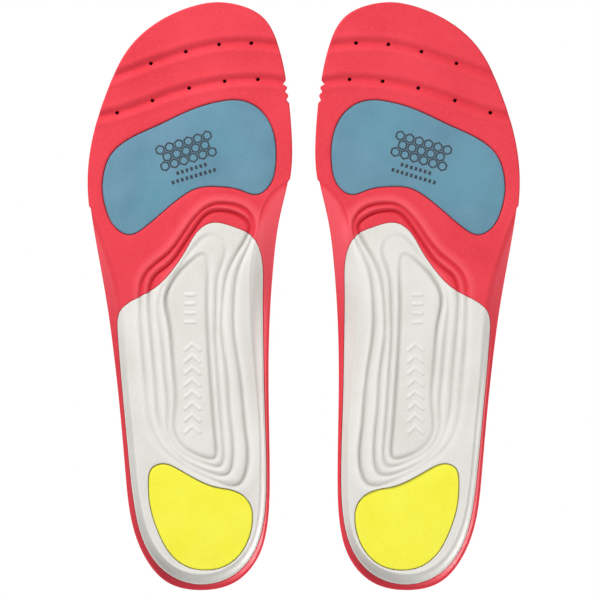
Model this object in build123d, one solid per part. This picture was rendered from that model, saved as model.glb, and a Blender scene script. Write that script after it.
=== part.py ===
from build123d import *
import os

import numpy as np

# A pair of cushioned insoles, foot side up, toes towards +Y, resting on z = 0.
# The left insole lies at -X, the right one is its mirror image in the plane X = 0.
# All shapes are drawn once, in the left insole's own coordinates in millimetres:
# x runs from the outer (lateral) side to the inner (medial) side, y from heel to toe.

# Driving dimensions
LENGTH = 270.0
PAIR_OFFSET = 47.0  # from the plane between the insoles to each heel's centre line
FORE_THICK = 5.0  # forefoot, cover included
HEEL_THICK = 7.5  # middle of the heel, cover included
COVER_THICK = 1.0
HEEL_RIM = 9.5  # rise of the heel cup's rim over the foot-side surface
ARCH_RISE = 9.0  # what the arch adds on the inner side
RIM_EDGE = 2.6  # height of the outer edge's upright part round the cup
FOAM_THICK = 1.5  # the base foam between the cover and the moulded shell
GAP = 0.3  # free play round each inlaid pad
PAD_RECESS = 0.4  # height of the pads' lower faces above the plane that the insole rests on
FORE_PAD_TOP = 2.3
HEEL_PAD_TOP = 4.0
GLUE = 0.2  # hot-melt film behind each pad
GROOVE_WIDTH = 4.6
GROOVE_DEPTH = 1.3
VENT_RADIUS = 0.7
SPLIT_GAP = 0.3  # between a fore part and its toe part

# Where the shape changes along the foot and across it
FLOOR_RAMP = (70.0, 185.0)  # the foot-side surface thins from heel to forefoot
HEEL_RIM_END = (60.0, 178.0)
ARCH_START = (48.0, 104.0)
ARCH_END = (104.0, 188.0)
INNER_HALF = (-16.0, 10.0)
CUP_REACH = 22.0  # how far in from the edge the cup's inner slope comes
CUP_ARCH_REACH = 12.0  # and how much further at the arch
CUP_CURVE = 2.4

# The flank: the underside's slope, from the flat bottom up to the edge
FLANK_END = (150.0, 190.0)  # it fades out towards the forefoot
FLANK_WIDTH = 7.4
FORE_FLANK = 0.6  # its width in the forefoot, where it is just a broken edge
ARCH_FLANK = 20.0  # how much wider it is under the arch
TIP_FLANK = 2.0  # how much narrower it is away from the heel's tip
TIP_END = (6.0, 26.0)
FLANK_CURVE = 1.35
ARCH_CURVE = 1.2
FLANK_SHARES = (1.0, 0.45, 0.0)  # the rings that it is made of, from the flat bottom outwards

# Sampling and working sizes
EDGE_POINTS = 500
FLANK_POINTS = 48
TOP_STEP = 8.0
MARGIN = 7.0  # how far the fitted foot-side surface goes beyond the outer edge
RUNOUT = 2.0  # it levels off this far outside the edge
BELOW = -1.0
SHELL_TALL = 20.0
TALL = 60.0
TOE_MARGIN = 30.0

# The outer edge, anticlockwise from the tip of the heel
OUTLINE = [
    (0, 0), (15.8, 3.9), (25.9, 14.9), (30.3, 30), (31.4, 50), (31, 80), (30.9, 110), (32.3, 140),
    (36.3, 170), (41.2, 192), (41.5, 210), (39.3, 232), (35.4, 250), (28.5, 263), (15.8, 269.1),
    (6, 270), (-5.7, 267.6), (-19, 261.5), (-32.3, 250), (-42.8, 230), (-49.6, 208.5),
    (-52, 188), (-50.2, 168), (-44.7, 140), (-40.9, 114), (-37.3, 80), (-34.9, 52), (-31.8, 30),
    (-25.9, 14.9), (-16.2, 3.9),
]
# The moulded shell under the arch and heel, clockwise from its front tip
SHELL = [
    (4, 168.7), (15, 167), (23, 163), (27.2, 155), (28.2, 140), (28.3, 115), (28.8, 92),
    (29.9, 70), (30.2, 48), (28.6, 31), (24.2, 17.5), (15.5, 7.6), (0, 3), (-15.5, 7.9),
    (-25.6, 20.5), (-30.6, 38), (-33.4, 62), (-36, 90), (-38.2, 118), (-37, 128.5), (-29, 134.6),
    (-20.5, 139.5), (-12.9, 147.5), (-6.5, 157), (-1, 165.5),
]
# The cushion inlaid under the ball of the foot, clockwise from its inner front corner
FORE_PAD = [
    (33.6, 208), (34.1, 196), (31, 185.8), (25.5, 182), (18, 184), (8, 185.6), (-2, 184.8),
    (-9.5, 180.6), (-18.5, 173.2), (-26, 166.9), (-33, 163.6), (-39.5, 167.2), (-43.4, 175),
    (-45.1, 184.5), (-44.4, 192), (-41.5, 199.7), (-34, 206.6), (-20, 213.4), (-4, 220.8),
    (8.5, 224.4), (19, 224.7), (28, 219.6),
]
# The cushion let into the shell under the heel, clockwise from its outer corner
HEEL_PAD = [
    (-18, 58.5), (-10.5, 56), (-2.5, 51.5), (6, 48), (17.5, 45), (22.5, 39.5), (23.4, 32),
    (21.6, 24), (16.5, 15.8), (9.5, 11.2), (2, 10), (-6.5, 11.6), (-14, 17.4), (-19.6, 27.5),
    (-23, 38), (-24, 50), (-22.4, 56.6),
]
# Flex grooves across the toes, from the outer edge to the inner edge
FRONT_GROOVE = [
    (-48, 233), (-37, 237), (-23, 242), (-7, 247.4), (8.2, 250.7), (23, 251.3), (42, 249),
]
REAR_GROOVE = [
    (-60, 215.5), (-38.5, 219.4), (-22.3, 225), (-5.5, 230.7), (10.8, 233.8), (26, 234.7), (50, 231),
]
# The groove points that have a vent, as indices
FRONT_VENTS = (2, 3, 4, 5)
REAR_VENTS = (1, 2, 3, 4, 5)


def ease(span, value):
    """0 below the span, 1 above it, and a smooth rise between."""
    low, high = span
    t = np.clip((value - low) / (high - low), 0.0, 1.0)
    return t * t * (3.0 - 2.0 * t)


def closed_wire(points):
    """A smooth closed line through the points, in two halves."""
    loop = Spline(*points, periodic=True)
    return Wire([loop.trim(0.0, 0.5), loop.trim(0.5, 1.0)])


def closed_face(points):
    return make_face(closed_wire(points)).face()


def edge_places(count):
    """Points evenly spaced round the outer edge, with the direction inwards at each."""
    line = Spline(*OUTLINE, periodic=True)
    places = []
    for k in range(count):
        spot = line @ (k / count)
        along = line % (k / count)
        places.append((spot.X, spot.Y, -along.Y, along.X))
    return places


EDGE = np.array([place[:2] for place in edge_places(EDGE_POINTS)])


def inset(x, y):
    """Distance in from the outer edge, and outside it a negative value that levels off."""
    start = EDGE
    run = np.roll(EDGE, -1, axis=0) - start
    point = np.array([x, y])
    along = np.clip(((point - start) * run).sum(1) / (run * run).sum(1), 0.0, 1.0)
    nearest = np.min(np.hypot(*(point - start - along[:, None] * run).T))
    straddles = (start[:, 1] > y) != (start[:, 1] + run[:, 1] > y)
    with np.errstate(divide="ignore", invalid="ignore"):
        crossing = start[:, 0] + (y - start[:, 1]) * run[:, 0] / run[:, 1]
    inside = np.count_nonzero(straddles & (crossing > x)) % 2 == 1
    return nearest if inside else -RUNOUT * (1.0 - np.exp(-nearest / RUNOUT))


def arch(x, y):
    """1 at the arch's highest place on the inner side, falling to 0 all round it."""
    return ease(ARCH_START, y) * (1.0 - ease(ARCH_END, y)) * ease(INNER_HALF, x)


def rim_rise(x, y):
    """Rise of the rim beside (x, y) above the foot-side surface."""
    return HEEL_RIM * (1.0 - ease(HEEL_RIM_END, y)) + ARCH_RISE * arch(x, y)


def floor_level(y):
    """The foot-side surface between the rims."""
    return FORE_THICK + (HEEL_THICK - FORE_THICK) * (1.0 - ease(FLOOR_RAMP, y))


def top_height(x, y):
    """The foot-side surface, dished between its rims."""
    reach = CUP_REACH + CUP_ARCH_REACH * arch(x, y)
    slope = np.clip(1.0 - inset(x, y) / reach, 0.0, None) ** CUP_CURVE
    return floor_level(y) + rim_rise(x, y) * slope


def flank_point(place, share):
    """A point of the flank, at a share of its width in from the edge."""
    x, y, in_x, in_y = place
    rear = 1.0 - ease(FLANK_END, y)
    edge = (floor_level(y) + rim_rise(x, y) - RIM_EDGE) * rear
    rear_width = FLANK_WIDTH - TIP_FLANK * ease(TIP_END, y) + ARCH_FLANK * arch(x, y)
    reach = FORE_FLANK + (rear_width - FORE_FLANK) * rear
    height = edge * (1.0 - share) ** (FLANK_CURVE + ARCH_CURVE * arch(x, y))
    return (x + in_x * reach * share, y + in_y * reach * share, height)


def above_underside():
    """Everything inside the outer edge, over the flank and over the flat bottom at z = 0."""
    places = edge_places(FLANK_POINTS)
    rings = [[flank_point(place, share) for place in places] for share in FLANK_SHARES]
    rings.append([(x, y, TALL / 2) for x, y, _, _ in places])
    return Solid.make_loft([closed_wire(ring) for ring in rings], ruled=True)


def below_top(shift):
    """Everything under the foot-side surface, moved up or down, to well below the bottom plane."""
    box = closed_face(OUTLINE).bounding_box()
    across = round((box.size.X + 2 * MARGIN) / TOP_STEP)
    along = round((LENGTH + 2 * MARGIN) / TOP_STEP)
    xs = np.linspace(box.min.X - MARGIN, box.max.X + MARGIN, across)
    ys = np.linspace(-MARGIN, LENGTH + MARGIN, along)
    grid = [[Vector(x, y, top_height(x, y) + shift) for y in ys] for x in xs]
    skin = Face.make_surface_from_array_of_points(grid, tol=0.05, min_deg=3, max_deg=3)
    return extrude(skin, amount=TALL, dir=(0, 0, -1))


def grown(points, amount):
    """A clockwise outline moved outwards by an amount."""
    loop = Spline(*points, periodic=True)
    count = 2 * len(points)
    moved = []
    for k in range(count):
        spot = loop @ (k / count)
        along = loop % (k / count)
        moved.append((spot.X - along.Y * amount, spot.Y + along.X * amount))
    return moved


def slab(points, low, high):
    return Pos(0, 0, low) * extrude(closed_face(points), amount=high - low, dir=(0, 0, 1))


def band(points, half_width, low, high):
    """A wall of even width along a line across the toes."""
    near = Spline(*[(x, y - half_width) for x, y in points])
    far = Spline(*[(x, y + half_width) for x, y in points])
    ends = [Line(near @ 0, far @ 0), Line(near @ 1, far @ 1)]
    face = make_face([near, far, *ends]).face()
    return Pos(0, 0, low) * extrude(face, amount=high - low, dir=(0, 0, 1))


def split_side(sign):
    """The space on the toe side (1) or the heel side (-1) of the rear groove."""
    line = Spline(*REAR_GROOVE)
    far = LENGTH + TOE_MARGIN if sign > 0 else -TOE_MARGIN
    corners = [line @ 0, (REAR_GROOVE[0][0], far), (REAR_GROOVE[-1][0], far), line @ 1]
    face = make_face([line, Polyline(*corners)]).face()
    return Pos(0, 0, -TALL / 2) * extrude(face, amount=2 * TALL, dir=(0, 0, 1))


def cut_vents(foam):
    """Air holes through the foam, in the bottoms of both grooves."""
    for x, y in [FRONT_GROOVE[k] for k in FRONT_VENTS] + [REAR_GROOVE[k] for k in REAR_VENTS]:
        foam -= Pos(x, y, 0) * Cylinder(VENT_RADIUS, TALL)
    return foam


def one_insole():
    """Every piece of the left insole, by name, in its own coordinates."""
    body = above_underside() & below_top(-COVER_THICK)
    cover = (above_underside() & below_top(0.0)) - below_top(-COVER_THICK)
    shell_level = below_top(-COVER_THICK - FOAM_THICK)
    shell_room = slab(SHELL, BELOW, SHELL_TALL) & shell_level
    heel_room = slab(grown(HEEL_PAD, GAP), BELOW, HEEL_PAD_TOP + GLUE)
    fore_room = slab(grown(FORE_PAD, GAP), BELOW, FORE_PAD_TOP + GLUE)
    shell = body & ((slab(SHELL, BELOW, SHELL_TALL) - heel_room) & shell_level)
    foam = body - (shell_room + heel_room) - fore_room
    for line in (FRONT_GROOVE, REAR_GROOVE):
        foam -= band(line, GROOVE_WIDTH / 2, BELOW, GROOVE_DEPTH)
    foam = cut_vents(foam)
    split = band(REAR_GROOVE, SPLIT_GAP / 2, BELOW, TALL / 2)
    ahead = split_side(1)
    behind = split_side(-1)
    return {
        "cover": (cover - split) & behind,
        "cover_toe": (cover - split) & ahead,
        "base": (foam - split) & behind,
        "base_toe": (foam - split) & ahead,
        "shell": shell,
        "forefoot_pad": slab(FORE_PAD, PAD_RECESS, FORE_PAD_TOP),
        "forefoot_pad_adhesive": slab(FORE_PAD, FORE_PAD_TOP, FORE_PAD_TOP + GLUE),
        "heel_pad": slab(HEEL_PAD, PAD_RECESS, HEEL_PAD_TOP),
        "heel_pad_adhesive": slab(HEEL_PAD, HEEL_PAD_TOP, HEEL_PAD_TOP + GLUE),
    }


def main():
    os.makedirs("parts", exist_ok=True)
    for name, piece in one_insole().items():
        left = Pos(-PAIR_OFFSET, -LENGTH / 2, 0) * piece
        right = mirror(left, about=Plane.YZ)
        export_step(left, f"parts/left_{name}.step")
        export_step(right, f"parts/right_{name}.step")


main()
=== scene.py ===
import math

import bmesh
import bpy
import numpy as np
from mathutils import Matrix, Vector
from mathutils.geometry import delaunay_2d_cdt


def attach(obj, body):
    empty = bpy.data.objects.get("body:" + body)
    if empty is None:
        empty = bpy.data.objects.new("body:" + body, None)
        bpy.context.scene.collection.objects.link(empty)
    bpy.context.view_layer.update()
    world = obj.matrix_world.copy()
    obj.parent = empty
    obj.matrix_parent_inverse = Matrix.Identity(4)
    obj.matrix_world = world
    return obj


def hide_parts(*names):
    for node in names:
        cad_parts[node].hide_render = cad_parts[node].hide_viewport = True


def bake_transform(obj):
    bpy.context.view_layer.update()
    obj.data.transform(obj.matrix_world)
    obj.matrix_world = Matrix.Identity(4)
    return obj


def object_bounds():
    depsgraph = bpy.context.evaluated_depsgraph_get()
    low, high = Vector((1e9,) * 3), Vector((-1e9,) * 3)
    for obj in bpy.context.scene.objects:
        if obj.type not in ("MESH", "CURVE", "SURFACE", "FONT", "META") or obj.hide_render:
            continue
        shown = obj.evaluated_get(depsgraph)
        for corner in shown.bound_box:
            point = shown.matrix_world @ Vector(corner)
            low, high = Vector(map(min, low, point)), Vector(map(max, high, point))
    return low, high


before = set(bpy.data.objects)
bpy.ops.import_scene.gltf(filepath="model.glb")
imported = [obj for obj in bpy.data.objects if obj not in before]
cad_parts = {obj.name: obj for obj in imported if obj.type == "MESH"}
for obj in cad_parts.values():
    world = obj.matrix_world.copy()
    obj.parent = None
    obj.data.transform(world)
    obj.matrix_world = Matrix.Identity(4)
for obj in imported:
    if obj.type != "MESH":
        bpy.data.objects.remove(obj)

# A pair of cushioned insoles, foot side up, seen from below by the main camera.
# Both are drawn once, in the left insole's own coordinates in millimetres: x runs from the outer
# to the inner side of the foot, y from heel to toe, and z up. The right one is the mirror image.

CAD_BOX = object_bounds()
MM = 0.001

# Driving dimensions, the same as the design's
LENGTH = 270.0
PAIR_OFFSET = 47.0  # from the plane between the insoles to each heel's centre line
FORE_THICK = 5.0  # forefoot, cover included
HEEL_THICK = 7.5  # middle of the heel, cover included
COVER_THICK = 1.0
FOAM_THICK = 1.5  # the base foam between the cover and the moulded shell
HEEL_RIM = 9.5  # rise of the heel cup's rim over the foot-side surface
ARCH_RISE = 9.0  # what the arch adds on the inner side
RIM_EDGE = 2.6  # height of the outer edge's upright part round the cup
GAP = 0.3  # free play round each inlaid pad
FORE_PAD_TOP = 2.3
HEEL_PAD_TOP = 4.0
GLUE = 0.2  # hot-melt film behind each pad

# Where the shape changes along the foot and across it
FLOOR_RAMP = (70.0, 185.0)  # the foot-side surface thins from heel to forefoot
HEEL_RIM_END = (60.0, 178.0)
ARCH_START = (48.0, 104.0)
ARCH_END = (104.0, 188.0)
INNER_HALF = (-16.0, 10.0)
CUP_REACH = 22.0  # how far in from the edge the cup's inner slope comes
CUP_ARCH_REACH = 12.0  # and how much further at the arch
CUP_CURVE = 2.4
WALL_END = (166.0, 192.0)  # the wall below the edge fades out towards the forefoot
WALL_CURVE = 1.15
ARCH_REACH = 26.0  # how far in from the edge the bottom is lifted under the arch
ARCH_CURVE = 2.5
ARCH_SHARE = 0.4  # what part of the arch's height that lift takes, and the wall the rest

# What only the visible surfaces have
LEVEL = 0.8  # the underside's plain surface lies this far above the highest moulded ridges
EDGE_ROUND = 0.8
SHELL_ROUND = 0.5
SHELL_LIP = 0.35
SHELL_GAP = 0.12
SHELL_LIP_AT = 0.45  # how far outside the shell its pocket's lip meets the surface
SHELL_SIDE = 0.7  # least height of the shell's side
PAD_ROUND = 0.7
PAD_SINK = 0.3  # how far a pad's rim lies behind the surface round it
HEEL_PAD_SINK = 0.4
PAD_CROWN = 0.25
CROWN_REACH = 7.0
DIMPLE = 0.05  # the pads' faces are slightly uneven
DIMPLE_RATE = (0.21, 0.17)  # across and along the foot, in radians a millimetre
DIMPLE_SHIFT = 0.6
DIMPLE_REACH = (1.0, 6.0)
FORE_LIP = 0.9
HEEL_LIP = 0.45
GROOVE_DEPTH = 1.35
GROOVE_HALF = 1.75
NOTCHES = [(232.8, 1.8), (229.2, 1.3), (225.4, 1.2)]  # place along the insole and depth
NOTCH_HALF = 1.5
CORNERS = [(1, 187.6), (-1, 175.4)]  # side of the foot, and where the outline steps in
CORNER_STEP = 0.75
CORNER_RUN = 1.4
CORNER_FADE = (42.0, 4.0)  # the step fades out towards the heel between these distances
SEAM = 0.02  # keeps hidden faces of neighbouring layers apart
TOP_BEVEL = (0.12, 0.25)  # inset and height of the foam's bevel under the cover
COVER_SIDE = [(0.25, 1.0), (0.0, 0.8), (0.0, 0.4), (0.1, 0.14), (0.38, 0.0)]  # insets and drops
VENT_RADIUS = 0.85
VENT_STEPS = [(-0.4, 0.0), (-0.12, 0.13), (0.0, 0.45)]  # its rounded mouth, as insets and rises
FRONT_VENTS = (2, 3, 4, 5)  # the groove points that have a vent, as indices
REAR_VENTS = (1, 2, 3, 4, 5)

# How closely the lines and the surfaces between them are sampled
EDGE_STEP = 0.7
LINE_STEP = 0.8
CREASE_STEP = 0.9
POCKET_STEP = 0.9
GROOVE_STEP = 1.2
UNDER_GRID = 1.7
FINE_GRID = 0.34  # the closest places beside the moulded lines
MARK_GRID = 0.45
PAD_GRID = 1.6
COVER_GRID = 2.2
HIDDEN_GRID = 4.0
SHELL_BACK_GRID = 3.0
POCKET_GRID = 6.0
PAD_BACK_GRID = 8.0
ROW_SHARE = 0.87  # distance between a triangular grid's rows, as a share of its spacing
BORDER_CLEAR = 0.3  # a grid's places keep this far from the border of what they fill
EDGE_TURNS = (0, 25, 48, 70, 90)  # degrees round an outer edge and round a pocket's lip
LIP_TURNS = (0, 28, 52, 74, 90)
SHARP_TURN = math.radians(50)  # edges that turn further than this are shaded sharp
CHUNK = 3000  # how many places are measured at a time
# Distances from each kind of line at which rows of places follow it
LINE_STEPS = (-3.0, -1.9, -1.3, -0.9, -0.55, -0.2, 0.15, 0.5, 1.0, 1.7, 2.6)
CREASE_STEPS = (-1.9, -1.2, -0.7, -0.3, 0.1, 0.5, 1.0)
EDGE_STEPS = (1.3, 1.9, 2.7, 3.7)
SHELL_STEPS = (-2.2, -1.2, 1.1, 1.7, 2.5, 3.5)
GROOVE_STEPS = (0, 0.9, 1.6, 2.2, 2.9, 3.6, 4.4)
CLEAR = 3.4  # the open grid keeps this far from those lines

# Cross-sections of the moulded lines, as height, middle and width of each swell or hollow
LINE_PROFILE = [(0.45, 1.45, 1.1), (0.28, 3.2, 1.7), (-0.92, -0.35, 0.95)]
CREASE_PROFILE = [(0.3, -0.9, 0.75), (-0.35, 0.15, 0.5)]
GROOVE_PROFILE = [(0.3, 3.4, 1.2), (-GROOVE_DEPTH, 0.0, GROOVE_HALF)]

# The plain marks moulded along the arch panel: chevrons, then bars
CHEVRONS = [73.0 + 5.4 * k for k in range(8)]
BARS = [123.5 + 4.2 * k for k in range(4)]
MARK_BOX = [(-11.0, 69.0), (3.0, 140.0)]
MARK_LATTICE = [(-9.5, 71.0), (1.2, 71.0), (1.2, 139.0), (-9.5, 139.0)]
MARK_HEIGHT = 0.42
MARK_SIDE = (0.4, 1.0)

# The flared sides beside the arch panel's front get a painted highlight, a paler colour where they slope
# towards the light
FLARE_WIDTH = (0.2, 2.2)
FLARE_START = (96.0, 160.0)
FLARE_END = (184.0, 190.0)
FLARE_HIGHLIGHT = 0.6
GROOVE_PAINTED_LIGHT = 0.3  # how strongly a flex groove's shape sets its painted light: a painted highlight on the swell beside it and painted shade in the groove

# The print on the forefoot pad: a honeycomb above two rows of short bars
PRINT_CENTRE = (-6.0, 199.0)
PRINT_TILT = math.radians(17)
PRINT_PROUD = 0.03
PRINT_SUNK = 0.05
COMB_CELL = 2.5
COMB_LIFT = 3.0
COMB_PITCH = (1.8, 1.56)  # of its columns and rows, in cells
COMB_WALL = (0.66, 0.98)  # inner and outer radius of a ring, in cells
DASH_ROWS = [(-5.6, 7), (-9.1, 10)]  # place of a row and how many bars it has
DASH_PITCH = 2.2
DASH_HALF = (0.62, 0.85)

# The outer edge, anticlockwise from the tip of the heel
OUTLINE = [
    (0, 0), (15.8, 3.9), (25.9, 14.9), (30.3, 30), (31.4, 50), (31, 80), (30.9, 110), (32.3, 140),
    (36.3, 170), (41.2, 192), (41.5, 210), (39.3, 232), (35.4, 250), (28.5, 263), (15.8, 269.1),
    (6, 270), (-5.7, 267.6), (-19, 261.5), (-32.3, 250), (-42.8, 230), (-49.6, 208.5),
    (-52, 188), (-50.2, 168), (-44.7, 140), (-40.9, 114), (-37.3, 80), (-34.9, 52), (-31.8, 30),
    (-25.9, 14.9), (-16.2, 3.9),
]
# The moulded shell under the arch and heel, clockwise from its front tip
SHELL = [
    (4, 168.7), (15, 167), (23, 163), (27.2, 155), (28.2, 140), (28.3, 115), (28.7, 92),
    (29.4, 70), (29.7, 48), (28.3, 31), (24, 17.7), (15.4, 7.8), (0, 3), (-15.4, 8),
    (-25.5, 20.5), (-30.5, 38), (-33.4, 62), (-36, 90), (-38.2, 118), (-37, 128.5), (-29, 134.6),
    (-20.5, 139.5), (-12.9, 147.5), (-6.5, 157), (-1, 165.5),
]
# The cushion inlaid under the ball of the foot, clockwise from its inner front corner
FORE_PAD = [
    (33.6, 208), (34.1, 196), (31, 185.8), (25.5, 182), (18, 184), (8, 185.6), (-2, 184.8),
    (-9.5, 180.6), (-18.5, 173.2), (-26, 166.9), (-33, 163.6), (-39.5, 167.2), (-43.4, 175),
    (-45.1, 184.5), (-44.4, 192), (-41.5, 199.7), (-34, 206.6), (-20, 213.4), (-4, 220.8),
    (8.5, 224.4), (19, 224.7), (28, 219.6),
]
# The cushion let into the shell under the heel, clockwise from its outer corner
HEEL_PAD = [
    (-18, 58.5), (-10.5, 56), (-2.5, 51.5), (6, 48), (17.5, 45), (22.5, 39.5), (23.4, 32),
    (21.6, 24), (16.5, 15.8), (9.5, 11.2), (2, 10), (-6.5, 11.6), (-14, 17.4), (-19.6, 27.5),
    (-23, 38), (-24, 50), (-22.4, 56.6),
]
# Flex grooves across the toes, from the outer edge to the inner edge
FRONT_GROOVE = [
    (-48, 233), (-37, 237), (-23, 242), (-7, 247.4), (8.2, 250.7), (23, 251.3), (42, 249),
]
REAR_GROOVE = [
    (-60, 215.5), (-38.5, 219.4), (-22.3, 225), (-5.5, 230.7), (10.8, 233.8), (26, 234.7), (50, 231),
]

# Moulded contour lines round the arch panel, nested from the inside out. The third number is
# how strongly the line stands out there.
PANEL_LINE = [
    (1.5, 154.5, 0.35), (3.2, 147, 0.6), (3, 134, 0.9), (3.4, 118, 0.9), (4.4, 101, 1), (5.6, 84, 1),
    (6.9, 69, 1), (6, 60.9, 1), (-1, 62, 0.9), (-8, 66, 0.6), (-11.9, 71.5, 0.6),
    (-11.9, 85, 0.7), (-12.6, 100, 0.9), (-13.6, 112, 1), (-15, 124, 1.2), (-16.2, 136, 1.3),
    (-13.2, 142.5, 1.2), (-6, 150.5, 0.8),
]
SECOND_LINE = [
    (7.5, 162.5, 0.15), (11, 157.5, 0.4), (8.6, 147, 0.8), (7.2, 134, 1), (6.9, 118, 1), (7.9, 101, 1),
    (9.1, 84, 1), (10.4, 68, 1), (8.8, 57.4, 1), (0, 59, 0.9), (-9, 63.6, 0.5), (-14.4, 70.5, 0.6),
    (-15.5, 84, 0.8), (-16.6, 98, 0.9), (-17.6, 110, 0.9), (-19, 122, 0.8), (-19.6, 133, 0.6),
    (-17, 140.3, 0.5), (-9.3, 150, 0.6), (-1.5, 160.2, 0.5), (3, 163.2, 0.3),
]
THIRD_LINE = [
    (22.4, 167.5, 1.2), (18.4, 172, 1.3), (10.4, 174.6, 1.3), (4, 174, 1.3), (-3.1, 166.7, 1.3),
    (-8.7, 158.3, 1.3), (-15.7, 149.5, 1.3), (-21.8, 144.2, 1.2), (-23.9, 137.5, 1), (-23.8, 126, 0.9),
    (-22.4, 110, 0.9), (-21, 94, 0.8), (-19.8, 80, 0.7), (-17.2, 71, 0.5), (-10, 61.6, 0.4),
    (2, 54.9, 0.8), (12, 53.6, 1.1), (14.9, 65, 1.1), (13.3, 84, 1), (12.2, 101, 1), (9.9, 118, 1),
    (10.4, 134, 1), (12.8, 147, 1), (18.3, 157.5, 1.1), (21.4, 163, 1.2),
]
FOURTH_LINE = [
    (24.4, 168.5, 1.2), (21.3, 174.4, 1.3), (12, 177.9, 1.3), (4.4, 177.3, 1.3), (-2, 172.6, 1.3),
    (-8.7, 163.6, 1.3), (-15.7, 154.8, 1.3), (-22.7, 149, 1.2), (-26.7, 143.5, 1.1), (-28, 134, 0.9),
    (-27.7, 122, 0.8), (-26.6, 106, 0.8), (-25.2, 90, 0.6), (-23.4, 76, 0.5), (-19.2, 66.8, 0.4),
    (-9, 58.2, 0.4), (5, 51, 0.7), (17.4, 49, 1.1), (21.4, 58, 1.2), (20.6, 74, 1.1),
    (19.4, 88, 1), (17.6, 103, 1), (15.4, 118, 1), (15.3, 134, 1), (17.2, 147, 1), (21.9, 158, 1.1),
    (24, 163.4, 1.2),
]
# The crease where the flat bottom turns into the cup's wall and the flared sides
CREASE = [
    (40.6, 188.5, 0.6), (31.6, 181, 0.8), (27.3, 172, 1), (25.3, 162, 0.8), (23.2, 149, 0.6),
    (22.7, 134, 0.6), (23.4, 118, 0.6), (25, 101, 0.6), (26.4, 84, 0.6), (27.2, 67, 0.7),
    (27.2, 50, 0.8), (26.3, 34, 1), (22.6, 21, 1.1), (13.6, 11.4, 1.2), (0, 7.4, 1.2),
    (-13.4, 11.6, 1.2), (-23, 23.4, 1.1), (-27.6, 38, 1), (-30, 56, 0.9), (-32, 78, 0.8),
    (-34, 100, 0.6), (-35.2, 120, 0.5), (-37.4, 136, 0.5), (-42, 152, 0.6), (-47, 166, 0.7),
    (-51.3, 176, 0.6),
]


def ease(span, value):
    """0 below the span, 1 above it, and a smooth rise between."""
    low, high = span
    t = np.clip((value - low) / (high - low), 0.0, 1.0)
    return t * t * (3.0 - 2.0 * t)


# Curves in the plane


def spline(points, step, closed=False):
    """Evenly spaced places along the smooth curve through the points."""
    p = np.array(points, float)
    if closed:
        p = np.vstack([p, p[:1]])
    run = np.hypot(*np.diff(p[:, :2], axis=0).T)
    t = np.concatenate([[0.0], np.cumsum(run)])
    slope = np.diff(p, axis=0) / run[:, None]
    system = np.zeros((len(p), len(p)))
    right = np.zeros_like(p)
    for k in range(1, len(p) - 1):
        system[k, k - 1:k + 2] = run[k - 1], 2.0 * (run[k - 1] + run[k]), run[k]
        right[k] = 6.0 * (slope[k] - slope[k - 1])
    system[0, 0] = 1.0
    system[-1, -1] = 1.0
    if closed:
        system[0, -1] = -1.0
        system[-1, :2] = 2.0 * run[0], run[0]
        system[-1, -2:] = run[-1], 2.0 * run[-1]
        right[-1] = 6.0 * (slope[0] - slope[-1])
    bend = np.linalg.solve(system, right)
    fine = np.linspace(0.0, t[-1], 40 * len(p))
    k = np.clip(np.searchsorted(t, fine) - 1, 0, len(run) - 1)
    span = run[k][:, None]
    b = (fine - t[k])[:, None] / span
    a = 1.0 - b
    line = a * p[k] + b * p[k + 1] + ((a ** 3 - a) * bend[k] + (b ** 3 - b) * bend[k + 1]) * span ** 2 / 6.0
    length = np.concatenate([[0.0], np.cumsum(np.hypot(*np.diff(line[:, :2], axis=0).T))])
    count = max(8, round(length[-1] / step))
    stations = np.linspace(0.0, length[-1], count, endpoint=not closed)
    return np.column_stack([np.interp(stations, length, column) for column in line.T])


def loop(points, step):
    """A closed curve through the points, anticlockwise."""
    line = spline(points, step, closed=True)
    x, y = line[:, 0], line[:, 1]
    area = np.sum(x * np.roll(y, -1) - np.roll(x, -1) * y)
    return line if area > 0 else line[::-1].copy()


def moved(line, amount):
    """A closed line moved inwards by an amount, which may differ from place to place."""
    along = np.roll(line[:, :2], -1, axis=0) - np.roll(line[:, :2], 1, axis=0)
    along /= np.hypot(*along.T)[:, None]
    inwards = np.column_stack([-along[:, 1], along[:, 0]])
    return line[:, :2] + inwards * np.reshape(amount, (-1, 1))


def nearest(places, line, closed=True):
    """Signed distance to a line, positive on its left, and the line's third value there."""
    start = line if closed else line[:-1]
    run = (np.roll(line, -1, axis=0) if closed else line[1:]) - start
    flat = run[:, :2]
    square = np.maximum((flat * flat).sum(1), 1e-12)
    distance = np.empty(len(places))
    value = np.ones(len(places))
    for first in range(0, len(places), CHUNK):
        part = slice(first, first + CHUNK)
        rel = places[part, None, :2] - start[None, :, :2]
        along = np.clip((rel * flat).sum(2) / square, 0.0, 1.0)
        off = rel - along[:, :, None] * flat
        far = (off * off).sum(2)
        k = far.argmin(1)
        row = np.arange(len(k))
        side = flat[k, 0] * rel[row, k, 1] - flat[k, 1] * rel[row, k, 0]
        distance[part] = np.sqrt(far[row, k]) * np.where(side >= 0, 1.0, -1.0)
        if line.shape[1] > 2:
            value[part] = start[k, 2] + along[row, k] * run[k, 2]
    return distance, value


def inside(places, loops):
    """Which places lie inside an odd number of closed lines."""
    odd = np.zeros(len(places), bool)
    for line in loops:
        x0, y0 = line[:, 0], line[:, 1]
        x1, y1 = np.roll(x0, -1), np.roll(y0, -1)
        rise = np.where(y1 == y0, 1e-12, y1 - y0)
        for first in range(0, len(places), CHUNK):
            part = slice(first, first + CHUNK)
            x, y = places[part, 0][:, None], places[part, 1][:, None]
            straddles = (y0 > y) != (y1 > y)
            crossing = x0 + (y - y0) * (x1 - x0) / rise
            odd[part] ^= np.count_nonzero(straddles & (crossing > x), axis=1) % 2 == 1
    return odd


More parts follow.
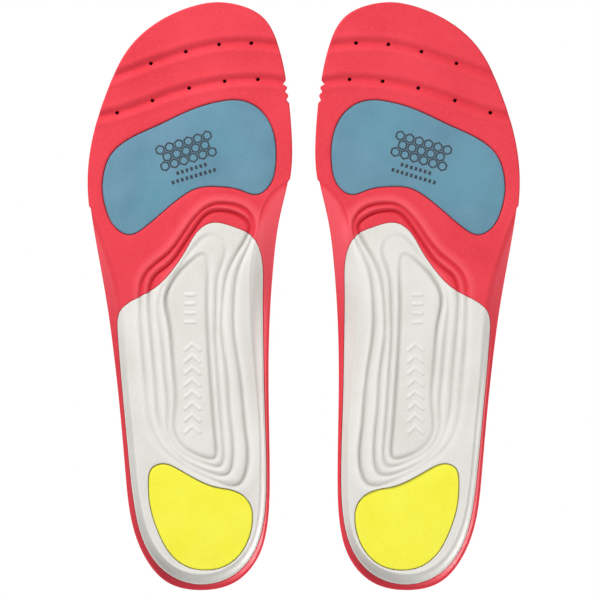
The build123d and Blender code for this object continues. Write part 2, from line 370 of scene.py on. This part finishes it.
EDGE = loop(OUTLINE, EDGE_STEP)
SHELL_LINE = loop(SHELL, LINE_STEP)
LINES = [loop(line, LINE_STEP) for line in (PANEL_LINE, SECOND_LINE, THIRD_LINE, FOURTH_LINE)]
CREASE_LINE = spline(CREASE, CREASE_STEP)
GROOVES = [spline(line, GROOVE_STEP) for line in (FRONT_GROOVE, REAR_GROOVE)]


# Heights of the layers


def innerness(x):
    """0 on the outer side of the foot and 1 on the inner side."""
    return ease(INNER_HALF, x)


def arch(y):
    """1 along the middle of the arch and 0 at the heel and the toes."""
    return ease(ARCH_START, y) * (1.0 - ease(ARCH_END, y))


def rim_rise(x, y):
    """How far the outer edge stands above the middle of the foot-side surface."""
    return HEEL_RIM * (1.0 - ease(HEEL_RIM_END, y)) + ARCH_RISE * arch(y) * innerness(x)


def floor_level(y):
    """Height of the foot-side surface in the middle, cover included."""
    return FORE_THICK + (HEEL_THICK - FORE_THICK) * (1.0 - ease(FLOOR_RAMP, y))


def top_height(places):
    """The foot-side surface, which curves up to the rim of the cup."""
    x, y = places[:, 0], places[:, 1]
    depth = np.maximum(nearest(places, EDGE)[0], 0.0)
    reach = CUP_REACH + CUP_ARCH_REACH * arch(y) * innerness(x)
    return floor_level(y) + rim_rise(x, y) * np.clip(1.0 - depth / reach, 0.0, None) ** CUP_CURVE


def under_height(places):
    """A flat bottom, lifted gently under the arch, and a wall from the crease to the outer edge."""
    x, y = places[:, 0], places[:, 1]
    depth = np.maximum(nearest(places, EDGE)[0], 0.0)
    beyond = np.maximum(nearest(places, CREASE_LINE, closed=False)[0], 0.0)
    inner = arch(y) * innerness(x)
    edge = (floor_level(y) + rim_rise(x, y) - RIM_EDGE - LEVEL) * (1.0 - ease(WALL_END, y))
    wall = (beyond / np.maximum(beyond + depth, 0.01)) ** WALL_CURVE
    lift = np.clip(1.0 - depth / ARCH_REACH, 0.0, None) ** ARCH_CURVE
    share = ARCH_SHARE * inner
    return LEVEL + edge * (share * lift + (1.0 - share) * wall)


def swell(profile, offset):
    """Height of a moulded cross-section at a distance from its line."""
    return sum(height * np.exp(-(((offset - middle) / width) ** 2)) for height, middle, width in profile)


def contour_relief(places):
    """How far the moulded lines stand out of the underside, at most LEVEL."""
    relief = np.zeros(len(places))
    for line in LINES:
        side, strength = nearest(places, line)
        relief += strength * swell(LINE_PROFILE, -side)
    side, strength = nearest(places, CREASE_LINE, closed=False)
    relief += strength * swell(CREASE_PROFILE, side)
    return np.where(relief > 0, LEVEL * np.tanh(relief / LEVEL), relief)


def groove_relief(places):
    """The flex grooves and the swell beside each: above 0 stands out, below 0 is cut in."""
    relief = np.zeros(len(places))
    for line in GROOVES:
        relief += swell(GROOVE_PROFILE, np.abs(nearest(places, line, closed=False)[0]))
    return relief


def mark_lines():
    """The middle lines of the plain chevrons and bars moulded along the panel."""
    chevrons = [np.array([(-7.4, y), (-4.1, y + 3.0), (-0.8, y)]) for y in CHEVRONS]
    return chevrons + [np.array([(-7.0, y), (-3.2, y)]) for y in BARS]


MARKS = mark_lines()


def mark_relief(places):
    """How far the chevrons and bars stand out of the panel."""
    relief = np.zeros(len(places))
    near = np.all((places > MARK_BOX[0]) & (places < MARK_BOX[1]), axis=1)
    close = places[near]
    raised = np.zeros(len(close))
    for line in MARKS:
        away = np.abs(nearest(close, line, closed=False)[0])
        raised = np.maximum(raised, MARK_HEIGHT * (1.0 - ease(MARK_SIDE, away)))
    relief[near] = raised
    return relief


def shell_face(places):
    return under_height(places) - contour_relief(places) - mark_relief(places)


def base_face(places):
    return under_height(places) - contour_relief(places) - groove_relief(places)


def foam_top(places):
    return top_height(places) - COVER_THICK


def shell_back(places):
    return foam_top(places) - FOAM_THICK


def flare_highlight(places):
    """How far a place belongs to the flared sides beside the arch panel's front, which get a painted
    highlight.
    """
    beyond = nearest(places, CREASE_LINE, closed=False)[0]
    along = ease(FLARE_START, places[:, 1]) * (1.0 - ease(FLARE_END, places[:, 1]))
    return ease(FLARE_WIDTH, beyond) * along


def base_painted_light(places):
    """Where the foam gets painted light: above 0 a painted highlight on raised places, on the swells beside
    the flex grooves and on the flared sides, below 0 painted shade in hollows and grooves.
    """
    return contour_relief(places) + GROOVE_PAINTED_LIGHT * groove_relief(places) + FLARE_HIGHLIGHT * flare_highlight(places)


# Where the shell gets painted light: a painted highlight on raised lines and marks, painted shade in
# hollows.
def shell_painted_light(places):
    return contour_relief(places) + mark_relief(places)


# Mesh making


class Builder:
    """Collects rings of vertices and the faces between them, in the left insole's millimetres."""

    def __init__(self):
        self.points = []
        self.faces = []

    def ring(self, line, heights):
        first = len(self.points)
        heights = np.broadcast_to(heights, len(line))
        self.points.extend((x, y, z) for (x, y), z in zip(line[:, :2], heights))
        return np.arange(first, len(self.points))

    def bridge(self, low, high):
        for a, b, c, d in zip(low, np.roll(low, -1), np.roll(high, -1), high):
            self.faces.append((int(a), int(b), int(c), int(d)))

    def stack(self, line, steps):
        """Rings one after another, each an inset and heights, joined up. Returns first and last."""
        rings = [self.ring(moved(line, inset), heights) for inset, heights in steps]
        for low, high in zip(rings, rings[1:]):
            self.bridge(low, high)
        return rings[0], rings[-1]

    def fill(self, rings, loose, height):
        """Triangles inside the first ring and outside the others, over loose places."""
        flat = np.array([self.points[k][:2] for ring in rings for k in ring])
        loops = [np.array([self.points[k][:2] for k in ring]) for ring in rings]
        edges = []
        first = 0
        for ring in rings:
            count = len(ring)
            edges.extend((first + k, first + (k + 1) % count) for k in range(count))
            first += count
        owner = list(np.concatenate(rings))
        if len(loose):
            clear = inside(loose, loops)
            for line in loops:
                clear &= np.abs(nearest(loose, line)[0]) > BORDER_CLEAR
            loose = loose[clear]
            heights = height(loose)
            start = len(self.points)
            self.points.extend((x, y, z) for (x, y), z in zip(loose, heights))
            owner.extend(range(start, len(self.points)))
            flat = np.vstack([flat, loose])
        made = delaunay_2d_cdt([Vector(p) for p in flat], edges, [], 0, 1e-7, True)
        places, triangles, origins = made[0], made[2], made[3]
        corners = np.array([tuple(p) for p in places])
        triangles = np.array(triangles)
        keep = inside(corners[triangles].mean(1), loops)
        for a, b, c in triangles[keep]:
            self.faces.append(tuple(int(owner[origins[k][0]]) for k in (a, b, c)))

    def finish(self, name, side, attribute=None):
        """The mesh object: side is 1 for the left insole and -1 for the mirrored right one."""
        points = np.array(self.points)
        x = (points[:, 0] - PAIR_OFFSET) * side
        places = np.column_stack([x, points[:, 1] - LENGTH / 2, points[:, 2]]) * MM
        mesh = bpy.data.meshes.new(name)
        mesh.from_pydata(places.tolist(), [], self.faces)
        if attribute is not None:
            # the relief number, which places a material's painted highlight and painted shade
            layer = mesh.attributes.new("relief", "FLOAT", "POINT")
            layer.data.foreach_set("value", attribute(points[:, :2]).astype(np.float32))
        work = bmesh.new()
        work.from_mesh(mesh)
        bmesh.ops.recalc_face_normals(work, faces=work.faces)
        for face in work.faces:
            face.smooth = True
        for edge in work.edges:
            if len(edge.link_faces) == 2:
                edge.smooth = edge.calc_face_angle(0.0) < SHARP_TURN
        work.to_mesh(mesh)
        work.free()
        piece = bpy.data.objects.new(name, mesh)
        bpy.context.scene.collection.objects.link(piece)
        return piece


def side_name(side):
    return "left" if side > 0 else "right"


def lattice(line, spacing):
    """Places of an even triangular grid over a closed line's box."""
    low, high = line[:, :2].min(0), line[:, :2].max(0)
    rows = np.arange(low[1], high[1], spacing * ROW_SHARE)
    places = []
    for k, y in enumerate(rows):
        xs = np.arange(low[0] + spacing * 0.5 * (k % 2), high[0], spacing)
        places.append(np.column_stack([xs, np.full(len(xs), y)]))
    return np.vstack(places)


def beside(line, offsets, closed=True):
    """Places along both sides of a line."""
    if closed:
        return np.vstack([moved(line, offset) for offset in offsets])
    along = np.gradient(line[:, :2], axis=0)
    along /= np.hypot(*along.T)[:, None]
    left = np.column_stack([-along[:, 1], along[:, 0]])
    return np.vstack([line[:, :2] + left * offset for offset in offsets])


def thinned(places, spacing):
    cells = np.round(places / spacing).astype(int)
    first = np.unique(cells, axis=0, return_index=True)[1]
    return places[np.sort(first)]


def relief_places(with_grooves, with_marks):
    """Close places where the moulded lines need them, and an open grid elsewhere."""
    close = [beside(line, LINE_STEPS) for line in LINES]
    close.append(beside(CREASE_LINE, CREASE_STEPS, closed=False))
    close.append(beside(EDGE, EDGE_STEPS))
    close.append(beside(SHELL_LINE, SHELL_STEPS))
    if with_grooves:
        across = sorted({way * step for way in (-1, 1) for step in GROOVE_STEPS})
        close += [beside(line, across, closed=False) for line in GROOVES]
    close = thinned(np.vstack(close), FINE_GRID)
    grid = lattice(EDGE, UNDER_GRID)
    for line in [*LINES, EDGE, SHELL_LINE]:
        grid = grid[np.abs(nearest(grid, line)[0]) > CLEAR]
    if with_marks:
        box = np.array(MARK_LATTICE)
        grid = grid[~inside(grid, [box])]
        close = close[~inside(close, [box])]
        grid = np.vstack([grid, lattice(box, MARK_GRID)])
    return np.vstack([close, grid])


def outer_steps(radius):
    """Insets and drops of an outer edge's rounding, from the face to the side."""
    steps = []
    for turn in EDGE_TURNS:
        angle = math.radians(turn)
        steps.append((radius * (1.0 - math.sin(angle)), radius * (1.0 - math.cos(angle))))
    return steps


def edge_cut(line):
    """How far the outer edge is cut back, at the teeth by the rear groove and at the flares' corners."""
    cut = np.zeros(len(line))
    for place, depth in NOTCHES:
        away = np.abs(line[:, 1] - place) / NOTCH_HALF
        cut += np.where(line[:, 0] > 0, depth * np.clip(1.0 - away, 0.0, None), 0.0)
    for way, place in CORNERS:
        fade_in = ease((place - CORNER_FADE[0], place - CORNER_FADE[1]), line[:, 1])
        behind = fade_in * (1.0 - ease((place, place + CORNER_RUN), line[:, 1]))
        cut += np.where(line[:, 0] * way > 0, CORNER_STEP * behind, 0.0)
    return cut


def vent_places():
    return [REAR_GROOVE[k] for k in REAR_VENTS] + [FRONT_GROOVE[k] for k in FRONT_VENTS]


def circle(centre, radius, count=14):
    turns = np.arange(count) * 2 * math.pi / count
    return np.column_stack([centre[0] + radius * np.cos(turns), centre[1] + radius * np.sin(turns)])


def base_edge(build):
    """The foam body's outer side. Returns its rings at the underside and the foot side."""
    cut = edge_cut(EDGE)
    low = base_face(moved(EDGE, cut + EDGE_ROUND))
    steps = [(cut + inset, low + drop) for inset, drop in outer_steps(EDGE_ROUND)]
    high = foam_top(moved(EDGE, cut)) - SEAM
    bevel_inset, bevel_height = TOP_BEVEL
    steps += [(cut, high - bevel_height), (cut + bevel_inset, high)]
    return build.stack(EDGE, steps)


def make_vent(build, centre):
    """A hole through the foam. Returns its rings at the underside and the foot side."""
    ring = circle(centre, VENT_RADIUS)
    face = base_face(circle(centre, VENT_RADIUS - VENT_STEPS[0][0]))
    steps = [(inset, face + rise) for inset, rise in VENT_STEPS]
    steps.append((0.0, foam_top(ring) - SEAM))
    return build.stack(ring, steps)


def pocket(build, line, lip, floor, gap, radius, spacing, back=None):
    """A recess in the underside. Returns the ring where its rounded lip meets the surface.

    lip and floor are heights, gap is the play round what lies in it, and radius is the lip's. back
    gives the floor's height where it isn't flat.
    """
    steps = []
    for turn in LIP_TURNS:
        angle = math.radians(turn)
        steps.append((-gap - radius * (1.0 - math.sin(angle)), lip + radius * (1.0 - math.cos(angle))))
    steps.append((-gap, floor))
    outer, inner = build.stack(line, steps)
    height = (lambda p: back(p) + SEAM) if back else (lambda p: np.full(len(p), floor))
    build.fill([inner], lattice(line, spacing), height)
    return outer


def make_base(side):
    """The foam body, with pockets for the shell and the forefoot pad, flex grooves and vents."""
    build = Builder()
    bottom, top = base_edge(build)
    lip = base_face(moved(SHELL_LINE, -SHELL_LIP_AT))
    back = shell_back(moved(SHELL_LINE, -SHELL_GAP)) + SEAM
    holes = [pocket(build, SHELL_LINE, lip, back, SHELL_GAP, SHELL_LIP, SHELL_BACK_GRID, shell_back)]
    pad = loop(FORE_PAD, POCKET_STEP)
    lip = base_face(moved(pad, -GAP - FORE_LIP))
    holes.append(pocket(build, pad, lip, FORE_PAD_TOP + GLUE + SEAM, GAP, FORE_LIP, POCKET_GRID))
    tops = [top]
    for centre in vent_places():
        lower, upper = make_vent(build, centre)
        holes.append(lower)
        tops.append(upper)
    build.fill([bottom, *holes], relief_places(True, False), base_face)
    build.fill(tops, lattice(EDGE, HIDDEN_GRID), lambda p: foam_top(p) - SEAM)
    return build.finish(f"{side_name(side)}_foam_base", side, base_painted_light)


def make_shell(side):
    """The moulded arch and heel shell with its contour lines and the heel pad's pocket."""
    build = Builder()
    low = shell_face(moved(SHELL_LINE, SHELL_ROUND))
    steps = [(inset, low + drop) for inset, drop in outer_steps(SHELL_ROUND)]
    high = shell_back(SHELL_LINE) - SEAM
    steps.append((0.0, np.maximum(high, low + SHELL_SIDE)))
    bottom, top = build.stack(SHELL_LINE, steps)
    pad = loop(HEEL_PAD, POCKET_STEP)
    lip = shell_face(moved(pad, -GAP - HEEL_LIP))
    hole = pocket(build, pad, lip, HEEL_PAD_TOP + GLUE + SEAM, GAP, HEEL_LIP, POCKET_GRID)
    build.fill([bottom, hole], relief_places(False, True), shell_face)
    build.fill([top], lattice(SHELL_LINE, SHELL_BACK_GRID), lambda p: shell_back(p) - SEAM)
    return build.finish(f"{side_name(side)}_moulded_shell", side, shell_painted_light)


def make_pad(name, points, sink, top, side):
    """A foam pad with a crowned face and rounded rim. Returns it and the height of its face."""
    build = Builder()
    line = loop(points, LINE_STEP)
    rim = LEVEL + sink

    def face(places):
        depth = nearest(places, line)[0]
        crown = PAD_CROWN * ease((0.0, CROWN_REACH), depth)
        across, along = places[:, 0] * DIMPLE_RATE[0], places[:, 1] * DIMPLE_RATE[1] + DIMPLE_SHIFT
        dimple = DIMPLE * np.sin(across) * np.sin(along)
        return rim - crown + dimple * ease(DIMPLE_REACH, depth)

    low = face(moved(line, PAD_ROUND))
    steps = [(inset, low + drop) for inset, drop in outer_steps(PAD_ROUND)]
    steps.append((0.0, top))
    bottom, upper = build.stack(line, steps)
    build.fill([bottom], lattice(line, PAD_GRID), face)
    build.fill([upper], lattice(line, PAD_BACK_GRID), lambda p: np.full(len(p), top))
    piece = build.finish(f"{side_name(side)}_{name}", side)
    return piece, face


def make_cover(side):
    """The knitted cover laminated to the foot side."""
    build = Builder()
    cut = edge_cut(EDGE)
    high = top_height(moved(EDGE, cut))
    bottom, top = build.stack(EDGE, [(cut + inset, high - drop) for inset, drop in COVER_SIDE])
    build.fill([top], lattice(EDGE, COVER_GRID), top_height)
    build.fill([bottom], lattice(EDGE, HIDDEN_GRID), foam_top)
    return build.finish(f"{side_name(side)}_knit_cover", side)


def turned(points, angle):
    cosine, sine = math.cos(angle), math.sin(angle)
    return np.array(points, float) @ np.array([[cosine, sine], [-sine, cosine]])


def print_patch(build, face, outline, hole=None):
    """A thin patch of ink on a pad's face, with an optional hole."""
    rings = [turned(ring, PRINT_TILT) + PRINT_CENTRE for ring in (outline, hole) if ring is not None]
    low = [build.ring(ring, face(ring) - PRINT_PROUD) for ring in rings]
    high = [build.ring(ring, face(ring) + PRINT_SUNK) for ring in rings]
    for a, b in zip(low, high):
        build.bridge(a, b)
    for level in (low, high):
        if hole is None:
            build.fill(level, np.empty((0, 2)), None)
        else:
            build.bridge(level[0], level[1])


def hexagon(centre, radius):
    return turned(circle((0.0, 0.0), radius, 6), math.pi / 6) + centre


def make_print(side, face):
    """Generic marks printed on the forefoot pad: a small honeycomb and two rows of bars."""
    build = Builder()
    for row in range(3):
        for column in range(6 - row % 2):
            x = (column - 2.5 + 0.5 * (row % 2)) * COMB_CELL * COMB_PITCH[0]
            centre = (x, (1 - row) * COMB_CELL * COMB_PITCH[1] + COMB_LIFT)
            inner, outer = (hexagon(centre, COMB_CELL * share) for share in COMB_WALL)
            print_patch(build, face, outer, inner)
    for y, count in DASH_ROWS:
        for k in range(count):
            x = (k - (count - 1) / 2) * DASH_PITCH
            corners = ((-1, -1), (1, -1), (1, 1), (-1, 1))
            print_patch(build, face, [(x + a * DASH_HALF[0], y + b * DASH_HALF[1]) for a, b in corners])
    return build.finish(f"{side_name(side)}_pad_print", side)


# Materials


class Nodes:
    """A material under construction."""

    def __init__(self, name, **sockets):
        self.material = bpy.data.materials.new(name)
        self.material.use_nodes = True
        self.tree = self.material.node_tree
        self.shader = self.tree.nodes["Principled BSDF"]
        for socket, value in sockets.items():
            self.shader.inputs[socket.replace("_", " ")].default_value = value
        self.place = self.add("ShaderNodeTexCoord").outputs["Object"]

    def add(self, kind, **settings):
        node = self.tree.nodes.new(kind)
        for key, value in settings.items():
            if key in node.inputs:
                node.inputs[key].default_value = value
            else:
                setattr(node, key, value)
        return node

    def link(self, output, target):
        self.tree.links.new(output, target)

    def noise(self, size, detail=2.0, roughness=0.5):
        """Noise with features about size metres across."""
        node = self.add("ShaderNodeTexNoise", Scale=1.0 / size, Detail=detail, Roughness=roughness)
        self.link(self.place, node.inputs["Vector"])
        return node.outputs["Fac"]

    def cells(self, size):
        """Distance from the nearest of scattered points about size metres apart."""
        node = self.add("ShaderNodeTexVoronoi", Scale=1.0 / size)
        self.link(self.place, node.inputs["Vector"])
        return node.outputs["Distance"]

    def value(self, factor, low, high, start=0.0, end=1.0):
        """Number between low and high as a value goes from start to end."""
        ramp = self.add("ShaderNodeMapRange")
        ramp.inputs["From Min"].default_value = start
        ramp.inputs["From Max"].default_value = end
        ramp.inputs["To Min"].default_value = low
        ramp.inputs["To Max"].default_value = high
        self.link(factor, ramp.inputs["Value"])
        return ramp.outputs["Result"]

    def blend(self, factor, low, high, start=0.0, end=1.0):
        """Colour between low and high as a value goes from start to end."""
        mix = self.add("ShaderNodeMix", data_type="RGBA")
        self.link(self.value(factor, 0.0, 1.0, start, end), mix.inputs["Factor"])
        for socket, colour in ((mix.inputs[6], low), (mix.inputs[7], high)):
            if isinstance(colour, tuple):
                socket.default_value = (*colour, 1.0)
            else:
                self.link(colour, socket)
        return mix.outputs[2]

    def relief(self):
        """The mesh's own number for where the colour gets painted highlight and painted shade: mostly how
        far a place is raised or sunk.
        """
        return self.add("ShaderNodeAttribute", attribute_name="relief").outputs["Fac"]

    def bump(self, height, depth, strength=1.0, after=None):
        """Bump of a height from 0 to 1, depth metres deep. after is a bump that it adds to."""
        node = self.add("ShaderNodeBump", Strength=strength, Distance=depth)
        self.link(height, node.inputs["Height"])
        if after is not None:
            self.link(after, node.inputs["Normal"])
        return node.outputs["Normal"]

    def done(self, colour, normal, roughness=None):
        self.link(colour, self.shader.inputs["Base Color"])
        self.link(normal, self.shader.inputs["Normal"])
        if roughness is not None:
            self.link(roughness, self.shader.inputs["Roughness"])
        return self.material


def foam_red():
    """Moulded foam with a fine grain; its colour has a painted highlight on raised places and the flared
    sides, and painted shade in hollows.
    """
    m = Nodes("red_foam", Specular_IOR_Level=0.14)
    broad = m.blend(m.noise(0.03, 3.0), (0.70, 0.042, 0.062), (0.79, 0.058, 0.082), 0.3, 0.7)
    grain = m.blend(m.cells(0.0007), broad, (0.81, 0.070, 0.096), 0.6, 1.1)
    # painted highlight: paler red where the relief number is high, on ridges, swells beside the grooves and
    # the flared sides
    highlit = m.blend(m.relief(), grain, (0.90, 0.12, 0.15), 0.15, 0.9)
    # painted shade: deeper red in hollows and flex grooves
    shaded = m.blend(m.relief(), (0.56, 0.016, 0.032), highlit, -1.1, -0.1)
    normal = m.bump(m.noise(0.0006, 3.0, 0.6), 0.00012, 0.5)
    normal = m.bump(m.cells(0.0018), 0.00012, 0.3, normal)
    return m.done(shaded, normal, m.value(m.noise(0.004, 3.0), 0.62, 0.78, 0.3, 0.7))


def shell_grey():
    """Moulded grey foam with faint flecks; its colour has a painted highlight on raised lines and marks,
    and painted shade in hollows.
    """
    m = Nodes("shell_grey", Specular_IOR_Level=0.16)
    broad = m.blend(m.noise(0.025, 3.0), (0.665, 0.645, 0.600), (0.745, 0.728, 0.690), 0.3, 0.7)
    fleck = m.blend(m.noise(0.0011, 2.0), broad, (0.78, 0.765, 0.73), 0.58, 0.8)
    # painted highlight: paler grey where the relief number is high, on ridges and marks
    highlit = m.blend(m.relief(), fleck, (0.80, 0.79, 0.76), 0.1, 0.7)
    # painted shade: darker grey in the hollows beside the moulded lines
    shaded = m.blend(m.relief(), (0.50, 0.485, 0.45), highlit, -0.9, -0.1)
    normal = m.bump(m.noise(0.0009, 3.0, 0.6), 0.0001, 0.35)
    return m.done(shaded, normal, m.value(m.noise(0.006, 3.0), 0.60, 0.74, 0.3, 0.7))


def cushion(name, dark, light, tint, tint_size):
    """Microcellular foam: fine pores, cloudy colour."""
    m = Nodes(name, Specular_IOR_Level=0.2, Sheen_Weight=0.15, Sheen_Roughness=0.6)
    cloud = m.blend(m.noise(tint_size, 4.0), dark, light, 0.32, 0.68)
    patch = m.blend(m.noise(tint_size * 1.7, 1.0), cloud, tint, 0.45, 0.85)
    pores = m.blend(m.cells(0.00055), (dark[0] * 0.8, dark[1] * 0.8, dark[2] * 0.8), patch, 0.05, 0.32)
    normal = m.bump(m.cells(0.00055), 0.00012, 0.45)
    normal = m.bump(m.noise(0.003, 3.0), 0.0002, 0.25, normal)
    return m.done(pores, normal, m.value(m.noise(0.002), 0.72, 0.9, 0.3, 0.7))


KNIT_SCALE = 2 * math.pi / 20 / 0.0011  # of a wave texture whose bands are 1.1 mm apart


def knit():
    """Dark polyester knit: a lattice of loops where two slanted waves cross."""
    m = Nodes("cover_knit", Specular_IOR_Level=0.2, Sheen_Weight=0.3, Sheen_Roughness=0.5, Roughness=0.85)
    waves = []
    for turn in (62.0, -62.0):
        mapping = m.add("ShaderNodeMapping")
        mapping.inputs["Rotation"].default_value = (0.0, 0.0, math.radians(turn))
        m.link(m.place, mapping.inputs["Vector"])
        wave = m.add("ShaderNodeTexWave", Scale=KNIT_SCALE, Distortion=0.6, Detail=1.0)
        wave.inputs["Detail Scale"].default_value = 2.0
        m.link(mapping.outputs["Vector"], wave.inputs["Vector"])
        waves.append(wave.outputs["Fac"])
    join = m.add("ShaderNodeMath", operation="MULTIPLY")
    m.link(waves[0], join.inputs[0])
    m.link(waves[1], join.inputs[1])
    thread = join.outputs["Value"]
    melange = m.blend(m.noise(0.0016, 2.0), (0.014, 0.015, 0.019), (0.042, 0.045, 0.054), 0.35, 0.65)
    colour = m.blend(thread, (0.006, 0.0065, 0.008), melange, 0.02, 0.5)
    normal = m.bump(thread, 0.00035, 0.8)
    normal = m.bump(m.noise(0.0003, 2.0), 0.00006, 0.5, normal)
    return m.done(colour, normal)


def ink():
    m = Nodes("pad_ink", Roughness=0.6)
    colour = m.blend(m.noise(0.0008, 2.0), (0.022, 0.030, 0.042), (0.045, 0.060, 0.080), 0.35, 0.7)
    return m.done(colour, m.bump(m.noise(0.0004), 0.00003, 0.3))


def glue():
    m = Nodes("hot_melt_film", Roughness=0.5)
    colour = m.blend(m.noise(0.004, 3.0), (0.62, 0.58, 0.48), (0.72, 0.69, 0.60), 0.3, 0.7)
    return m.done(colour, m.bump(m.noise(0.002), 0.0001, 0.3))


def make_materials():
    return {
        "foam": foam_red(),
        "shell": shell_grey(),
        "fore": cushion("cushion_blue", (0.105, 0.238, 0.325), (0.140, 0.285, 0.385),
                        (0.115, 0.300, 0.385), 0.018),
        "heel": cushion("cushion_yellow", (0.86, 0.81, 0.040), (0.89, 0.85, 0.058),
                        (0.87, 0.84, 0.075), 0.012),
        "knit": knit(),
        "ink": ink(),
        "glue": glue(),
    }


# The pieces on their bodies


def across_toe(piece):
    """Bakes a piece's placement into its mesh."""
    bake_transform(piece)


def dress(piece, material):
    piece.data.materials.append(material)


def make_insole(side, materials):
    name = side_name(side)
    body = f"{name}_insole"

    base = make_base(side)
    dress(base, materials["foam"])
    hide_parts(f"{name}_base", f"{name}_base_toe")
    across_toe(base)

    shell = make_shell(side)
    dress(shell, materials["shell"])
    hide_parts(f"{name}_shell")
    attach(shell, body)

    pad, face = make_pad("forefoot_cushion", FORE_PAD, PAD_SINK, FORE_PAD_TOP - SEAM, side)
    dress(pad, materials["fore"])
    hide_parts(f"{name}_forefoot_pad")
    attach(pad, body)
    marks = make_print(side, face)
    dress(marks, materials["ink"])
    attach(marks, body)

    heel, _ = make_pad("heel_cushion", HEEL_PAD, HEEL_PAD_SINK, HEEL_PAD_TOP - SEAM, side)
    dress(heel, materials["heel"])
    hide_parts(f"{name}_heel_pad")
    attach(heel, body)

    cover = make_cover(side)
    dress(cover, materials["knit"])
    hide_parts(f"{name}_cover", f"{name}_cover_toe")
    across_toe(cover)

    for node in (f"{name}_forefoot_pad_adhesive", f"{name}_heel_pad_adhesive"):
        film = bpy.data.objects[node]
        film.data.materials.clear()
        film.data.materials.append(materials["glue"])


# The studio

FLOOR_DROP = 0.0004  # metres below the insoles, so that the main camera can look from just past it
FLOOR_HALF = 3.0
LENS = 300.0
SENSOR = 36.0
FRAME_SHARE = 1.0168  # the picture's width, in lengths of the pair
CAMERA_SHIFT = (0.0017, -0.0014)
CAMERA_END = 10.0
GLOW = (0.22, 1.0)  # the floor's own light, near the insoles and far from them
GLOW_SPAN = (0.3, 2.4)  # metres
WORLD_LIGHT = 0.28
LAMPS = [  # name, place, diameter and power
    ("key_below", (0.55, 0.75, -0.55), 0.3, 10.5),
    ("side_below", (-0.95, -0.1, -0.6), 0.7, 4.2),
    ("fill_below", (-0.15, -0.85, -0.8), 0.9, 5.0),
    ("key_above", (-0.6, -0.5, 0.8), 0.35, 17.0),
    ("fill_above", (0.7, 0.5, 0.7), 0.9, 5.0),
]


def make_camera():
    """Looks straight up at the undersides, framed as wide as the pair is long."""
    low, high = CAD_BOX
    distance = LENS / SENSOR * (high.y - low.y) * FRAME_SHARE
    data = bpy.data.cameras.new("camera")
    data.lens = LENS
    data.sensor_width = SENSOR
    camera = bpy.data.objects.new("camera", data)
    camera.location = (*CAMERA_SHIFT, -distance)
    camera.rotation_euler = (0.0, math.pi, 0.0)
    data.clip_start = distance - FLOOR_DROP / 2
    data.clip_end = CAMERA_END
    bpy.context.scene.collection.objects.link(camera)
    bpy.context.scene.camera = camera


def make_floor():
    """The pale floor that the insoles lie on, whiter far away. It lets the light from below through."""
    mesh = bpy.data.meshes.new("floor")
    signs = ((-1, -1), (1, -1), (1, 1), (-1, 1))
    corners = [(x * FLOOR_HALF, y * FLOOR_HALF, -FLOOR_DROP) for x, y in signs]
    mesh.from_pydata(corners, [], [(0, 1, 2, 3)])
    m = Nodes("floor_pale", Roughness=0.9, Emission_Color=(1.0, 1.0, 0.99, 1.0))
    away = m.add("ShaderNodeVectorMath", operation="LENGTH")
    m.link(m.place, away.inputs[0])
    m.link(m.value(away.outputs["Value"], *GLOW, *GLOW_SPAN), m.shader.inputs["Emission Strength"])
    colour = m.blend(m.noise(0.4, 2.0), (0.325, 0.325, 0.32), (0.345, 0.345, 0.34), 0.3, 0.7)
    mesh.materials.append(m.done(colour, m.bump(m.noise(0.02), 0.0001, 0.1)))
    floor = bpy.data.objects.new("floor", mesh)
    bpy.context.scene.collection.objects.link(floor)
    floor.visible_shadow = False
    floor.visible_diffuse = False
    floor.visible_glossy = False
    floor.visible_transmission = False


def make_light(name, place, size, power):
    """A round lamp that looks at the middle of the pair."""
    data = bpy.data.lights.new(name, "AREA")
    data.shape = "DISK"
    data.size = size
    data.energy = power
    light = bpy.data.objects.new(name, data)
    light.location = place
    light.rotation_mode = "QUATERNION"
    light.rotation_quaternion = (-Vector(place)).to_track_quat("-Z", "Y")
    bpy.context.scene.collection.objects.link(light)


def make_world():
    """White to the camera and a softer white as light."""
    world = bpy.data.worlds.new("studio")
    bpy.context.scene.world = world
    world.use_nodes = True
    nodes, links = world.node_tree.nodes, world.node_tree.links
    shine = nodes["Background"]
    shine.inputs["Color"].default_value = (1.0, 1.0, 1.0, 1.0)
    shine.inputs["Strength"].default_value = WORLD_LIGHT
    seen = nodes.new("ShaderNodeBackground")
    seen.inputs["Color"].default_value = (1.0, 1.0, 1.0, 1.0)
    seen.inputs["Strength"].default_value = 1.0
    ray = nodes.new("ShaderNodeLightPath")
    mix = nodes.new("ShaderNodeMixShader")
    links.new(ray.outputs["Is Camera Ray"], mix.inputs[0])
    links.new(shine.outputs[0], mix.inputs[1])
    links.new(seen.outputs[0], mix.inputs[2])
    links.new(mix.outputs[0], nodes["World Output"].inputs["Surface"])


def make_studio():
    bpy.context.scene.view_settings.view_transform = "Standard"
    make_camera()
    make_floor()
    make_world()
    for lamp in LAMPS:
        make_light(*lamp)


make_studio()
shared = make_materials()
for side in (1, -1):
    make_insole(side, shared)
